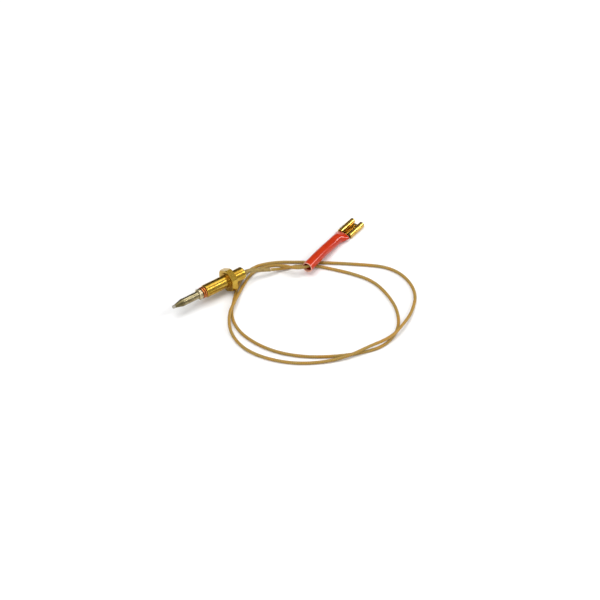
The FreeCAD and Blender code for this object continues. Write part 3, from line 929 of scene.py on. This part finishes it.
def make_probe():
    """A tube with a thick tapered nose that the core wire comes through."""
    nose_radius = 0.00075
    taper_end = NOSE + 0.0040
    nose_back = NOSE + 0.0032
    outline = eased([
        (NOSE, CORE_BORE / 2), (NOSE, nose_radius), (taper_end, SHEATH / 2),
        (SHEATH_END, SHEATH / 2), (SHEATH_END, SHEATH_BORE / 2),
        (nose_back, SHEATH_BORE / 2), (nose_back, CORE_BORE / 2),
    ], radius=0.00022, steps=6)
    return make_piece("probe", lathe("probe", outline), ALLOY)


def make_bead():
    """The welded tip: a fused ball that runs out onto the nose face."""
    radius = 0.0008
    centre = NOSE - 0.00055
    foot_radius = 0.00066
    foot = NOSE - 0.00001
    steps = 18
    sweep = math.pi * 0.72      # from the tip round towards the foot
    outline = []
    for step in range(steps + 1):
        angle = math.pi - sweep * step / steps
        outline.append(Vector((centre + radius * math.cos(angle), radius * math.sin(angle))))
    outline += [Vector((foot, foot_radius)), Vector((foot, 0.0))]

    def lumps(x, reach, angle):
        """Lumps of up to 0.03 mm that fade out towards the axis."""
        place = Vector((x * 1600, math.cos(angle) * 1.4, math.sin(angle) * 1.4))
        return 0.00003 * noise.noise(place) * min(1, reach / 0.0004)

    return make_piece("weld_bead", lathe("bead", outline, closed=False, uneven=lumps), WELD)


def make_collar():
    """A ring with both outer edges chamfered, the front one more."""
    chamfer = 0.00035
    front_face = 0.00215
    back_face = 0.00222
    outline = eased([
        (COLLAR, COLLAR_BORE), (COLLAR, front_face), (COLLAR + chamfer, COLLAR_RADIUS),
        (BRAZE - chamfer, COLLAR_RADIUS), (BRAZE, back_face), (BRAZE, COLLAR_BORE),
    ], radius=0.00008)
    return make_piece("collar", lathe("collar", outline), PLATED)


def make_braze():
    """Two beads of braze side by side, a little wavy where the metal flowed."""
    bead = BRAZE_BEAD / 2
    valley = BRAZE_RADIUS - bead
    steps = 12
    outline = [Vector((BRAZE, COLLAR_BORE)), Vector((BRAZE, valley))]
    for middle in (BRAZE + bead, BRAZE + bead * 3):
        for step in range(1, steps):
            angle = math.pi * (1 - step / steps)
            outline.append(Vector((middle + bead * math.cos(angle),
                                   valley + bead * math.sin(angle))))
    outline += [Vector((SHANK_START, valley)), Vector((SHANK_START, COLLAR_BORE))]

    def waves(x, radius, angle):
        """Waves of up to 0.09 mm, none in the bore."""
        if radius < BRAZE_RADIUS - bead * 1.2:
            return 0.0
        place = Vector((x * 900, 2.2 * math.cos(angle), 2.2 * math.sin(angle)))
        return 0.00009 * noise.noise(place)

    return make_piece("braze", lathe("braze", outline, uneven=waves), COPPER)


def hexagon_cutter(corner):
    """A thick ring with a hexagonal hole, which leaves the hexagon when it is cut away."""
    over = 0.0002               # past the hexagon's faces
    cutter = bmesh.new()
    rings = []
    for x in (HEX - over, BARREL_START + over):
        for reach in (corner, corner * 1.5):
            rings.append([
                cutter.verts.new((x, reach * math.sin(math.tau * k / 6),
                                  AXIS + reach * math.cos(math.tau * k / 6)))
                for k in range(6)
            ])
    near_hole, near_rim, far_hole, far_rim = rings
    for first, second in ((near_hole, near_rim), (near_rim, far_rim),
                          (far_rim, far_hole), (far_hole, near_hole)):
        for k in range(6):
            after = (k + 1) % 6
            cutter.faces.new([first[k], first[after], second[after], second[k]])
    return make_piece("hexagon cutter", mesh_from(cutter, "hexagon cutter"))


def make_body():
    """Turned from hexagon bar: shank, shoulder, hexagon and barrel, bored from both ends."""
    corner = HEX_FLATS / math.sqrt(3)
    corner_cut = 0.00045        # the hexagon's corners, turned off
    shank_edge = 0.0003
    shoulder_front = HEX - 0.0005
    barrel_edge = 0.0005
    chamber_front = BACK - 0.0090
    outline = eased([
        (SHANK_START, BODY_BORE / 2), (SHANK_START, SHANK / 2 - shank_edge),
        (SHANK_START + shank_edge, SHANK / 2), (shoulder_front, SHANK / 2),
        (shoulder_front, SHOULDER / 2), (HEX, SHOULDER / 2), (HEX, corner - corner_cut),
        (HEX + corner_cut, corner), (BARREL_START - corner_cut, corner),
        (BARREL_START, corner - corner_cut), (BARREL_START, BARREL / 2),
        (BACK - barrel_edge, BARREL / 2), (BACK, BARREL / 2 - barrel_edge),
        (BACK, CHAMBER / 2), (chamber_front, CHAMBER / 2), (chamber_front, BODY_BORE / 2),
    ], radius=0.00009, steps=3)
    blank = make_piece("body", lathe("body", outline, around=144), BRASS)
    tool = hexagon_cutter(corner)
    cut = blank.modifiers.new("hexagon", "BOOLEAN")
    cut.operation = "DIFFERENCE"
    cut.solver = "EXACT"
    cut.object = tool
    soften = blank.modifiers.new("edges", "BEVEL")
    soften.width = 0.00006
    soften.segments = 2
    soften.limit_method = "ANGLE"
    soften.angle_limit = math.radians(24)
    soften.harden_normals = True
    seen = blank.evaluated_get(bpy.context.evaluated_depsgraph_get())
    mesh = bpy.data.meshes.new_from_object(seen)
    bpy.data.objects.remove(blank)
    bpy.data.objects.remove(tool)
    return make_piece("hexagon_body", mesh)


probe = make_probe()
bead = make_bead()
collar = make_collar()
braze = make_braze()
body = make_body()

# ---------------------------------------------------------------- spade receptacle
RECEPTACLE_AT = Vector((0.0759, -0.0026, 0))
RECEPTACLE_TURN = Matrix.Rotation(math.radians(16.5), 4, "Z")
SOCKET_HALF = 0.0038        # half width over the rolled sides
SOCKET_HEIGHT = 0.0029
ROLL = 0.0013               # outer radius of the rolled sides
CORNER_BEND = 0.0005        # inside radius where the floor turns up
TAB_THICKNESS = 0.0008
GRIP = 0.0012               # outer radius of the crimped grips
NECK_RISE = 0.00075
NECK_HALF = 0.0008
SOCKET_START = 0.0006       # the rest along the receptacle, from its shoulders
SOCKET_END = 0.0110
SHOULDER_BACK = -0.0016
SHOULDER_RUN = 0.0010
SHOULDER_HALF = 0.0026
WIRE_GRIP = (-0.0052, -0.0026)
LEAD_GRIP = (-0.0086, -0.0062)


def in_place(x, y, z):
    """A point given from the receptacle's shoulders, in the part's frame."""
    return RECEPTACLE_AT + RECEPTACLE_TURN @ Vector((x, y, z))


def strip_piece(path, start, end):
    """Sheet metal bent to a path of (y, z) points and as long as from start to end."""
    edge = 0.00006              # the sheared ends' rounding
    support = 0.0010            # a ring that keeps the rounding at the ends
    path = [Vector(point) for point in path]
    normals = []
    for index in range(len(path)):
        before = path[max(index - 1, 0)]
        after = path[min(index + 1, len(path) - 1)]
        run = (after - before).normalized()
        normals.append(Vector((-run.y, run.x)))
    half_strip = STRIP / 2
    outline = [point + normal * half_strip for point, normal in zip(path, normals)]
    outline += [point - normal * half_strip
                for point, normal in zip(reversed(path), reversed(normals))]
    shape = bmesh.new()
    run_layer = shape.loops.layers.uv.new("run")
    lengths = [0.0]
    for here, after in zip(outline, outline[1:] + outline[:1]):
        lengths.append(lengths[-1] + (after - here).length)
    stations = [start, start + edge, start + support]
    stations += [start + (end - start) * part / 8 for part in range(2, 7)]
    stations += [end - support, end - edge, end]
    rings = []
    for x in stations:
        ease = edge * (1 - min(1.0, min(x - start, end - x) / edge))
        ring = []
        for point, middle in zip(outline, path + list(reversed(path))):
            place = point + (middle - point).normalized() * ease
            ring.append(shape.verts.new(in_place(x, place.x, place.y)))
        rings.append(ring)
    count = len(outline)
    for number, (first, second) in enumerate(zip(rings, rings[1:])):
        near, far = stations[number:number + 2]
        for step in range(count):
            after = (step + 1) % count
            face = shape.faces.new([first[step], first[after], second[after], second[step]])
            corners = [(near, lengths[step]), (near, lengths[step + 1]),
                       (far, lengths[step + 1]), (far, lengths[step])]
            for loop, corner in zip(face.loops, corners):
                loop[run_layer].uv = corner
    for ring in (rings[0], rings[-1]):
        for step in range(count // 2 - 1):
            shape.faces.new([ring[step], ring[step + 1],
                             ring[count - 2 - step], ring[count - 1 - step]])
    return shape


def arc(centre, radius, start, end, steps):
    """Points on an arc, angles in degrees from +Y towards +Z."""
    angles = [math.radians(start + (end - start) * k / steps) for k in range(steps + 1)]
    return [(centre[0] + radius * math.cos(angle), centre[1] + radius * math.sin(angle))
            for angle in angles]


def plate_piece(outline, low, high):
    """Flat sheet with a straight-sided outline of (x, y) corners."""
    shape = bmesh.new()
    shape.loops.layers.uv.new("run")
    bottom, top = [[shape.verts.new(in_place(x, y, z)) for x, y in outline] for z in (low, high)]
    shape.faces.new(bottom)
    shape.faces.new(top)
    for index in range(len(outline)):
        after = (index + 1) % len(outline)
        shape.faces.new([bottom[index], bottom[after], top[after], top[index]])
    bmesh.ops.bevel(shape, geom=list(shape.edges), offset=0.00005, segments=2, affect="EDGES")
    return shape


def socket_path():
    """Middle line of the strip: left lip, over the left roll, the floor, and the right side."""
    middle = STRIP / 2
    bend_middle = CORNER_BEND + STRIP
    roll_z = SOCKET_HEIGHT - ROLL
    lip_y = SOCKET_HALF - 2 * ROLL + middle
    floor_step = 0.0015
    right = [(lip_y, STRIP + TAB_THICKNESS), (lip_y, roll_z - 0.0001)]
    right += arc((SOCKET_HALF - ROLL, roll_z), ROLL - middle, 180, 0, steps=14)
    right += arc((SOCKET_HALF - bend_middle, bend_middle), CORNER_BEND + middle, 0, -90, steps=8)
    left = [(-y, z) for y, z in reversed(right)]
    return right + [(floor_step, middle), (0.0, middle), (-floor_step, middle)] + left


def make_receptacle():
    """Socket, neck, shoulders, the riser that joins them, and the two grips round the lead."""
    weld = 0.0001               # how far the riser goes into the socket
    neck_into_shoulders = 0.0004
    level = NECK_RISE + STRIP
    neck_path = [(y * NECK_HALF, NECK_RISE + STRIP / 2) for y in (-1, -0.5, 0, 0.5, 1)]
    wide_from = SHOULDER_BACK + SHOULDER_RUN
    shoulders = [(SHOULDER_BACK, -NECK_HALF), (wide_from, -SHOULDER_HALF),
                 (SOCKET_START, -SHOULDER_HALF), (SOCKET_START, SHOULDER_HALF),
                 (wide_from, SHOULDER_HALF), (SHOULDER_BACK, NECK_HALF)]
    riser_back = SOCKET_START - STRIP
    riser_front = SOCKET_START + weld
    riser = [(riser_back, -SHOULDER_HALF), (riser_front, -SHOULDER_HALF),
             (riser_front, SHOULDER_HALF), (riser_back, SHOULDER_HALF)]
    shapes = [
        strip_piece(socket_path(), SOCKET_START, SOCKET_END),
        strip_piece(neck_path, LEAD_GRIP[0], SHOULDER_BACK + neck_into_shoulders),
        plate_piece(shoulders, NECK_RISE, level),
        plate_piece(riser, 0.0, level),
    ]
    grip_path = arc((0, NECK_RISE + GRIP), GRIP - STRIP / 2, 82, -262, steps=26)
    shapes += [strip_piece(grip_path, start, end) for start, end in (WIRE_GRIP, LEAD_GRIP)]
    joined = bmesh.new()
    joined.loops.layers.uv.new("run")
    for shape in shapes:
        mesh = mesh_from(shape, "strip")
        joined.from_mesh(mesh)
        bpy.data.meshes.remove(mesh)
    mesh = bpy.data.meshes.new("receptacle")
    joined.to_mesh(mesh)
    joined.free()
    mesh.set_sharp_from_angle(angle=CRISP)
    return make_piece("spade_socket", mesh, STRIP_BRASS)


receptacle = make_receptacle()

# ---------------------------------------------------------------- CAD nodes that stay
for name, material in (("core_wire", CORE), ("core_insulation", POWDER),
                       ("splice_crimp", SPLICE), ("splice_cover", SLEEVING),
                       ("lead_conductor_front", STRANDS), ("rear_bush", POWDER),
                       ("lead_conductor_end", STRANDS)):
    node = NODES[name]
    node.data.materials.clear()
    node.data.materials.append(material)

# ---------------------------------------------------------------- what rides and replaces
for piece, node, slot in (
    (probe, "probe_sheath", "nickel_alloy"),
    (bead, "junction_bead", "weld_bead"),
    (collar, "sheath_collar", "pale_plate"),
    (braze, "braze_ring", "copper_braze"),
    (body, "hex_body", "brass"),
    (lead, "lead_cable", "lead_cover"),
    (exit_sleeve, "exit_sleeve", "exit_cover"),
    (boot, "terminal_boot", "boot_red"),
    (receptacle, "spade_receptacle", "terminal_brass"),
):
    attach(piece, "root")
    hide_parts(node)
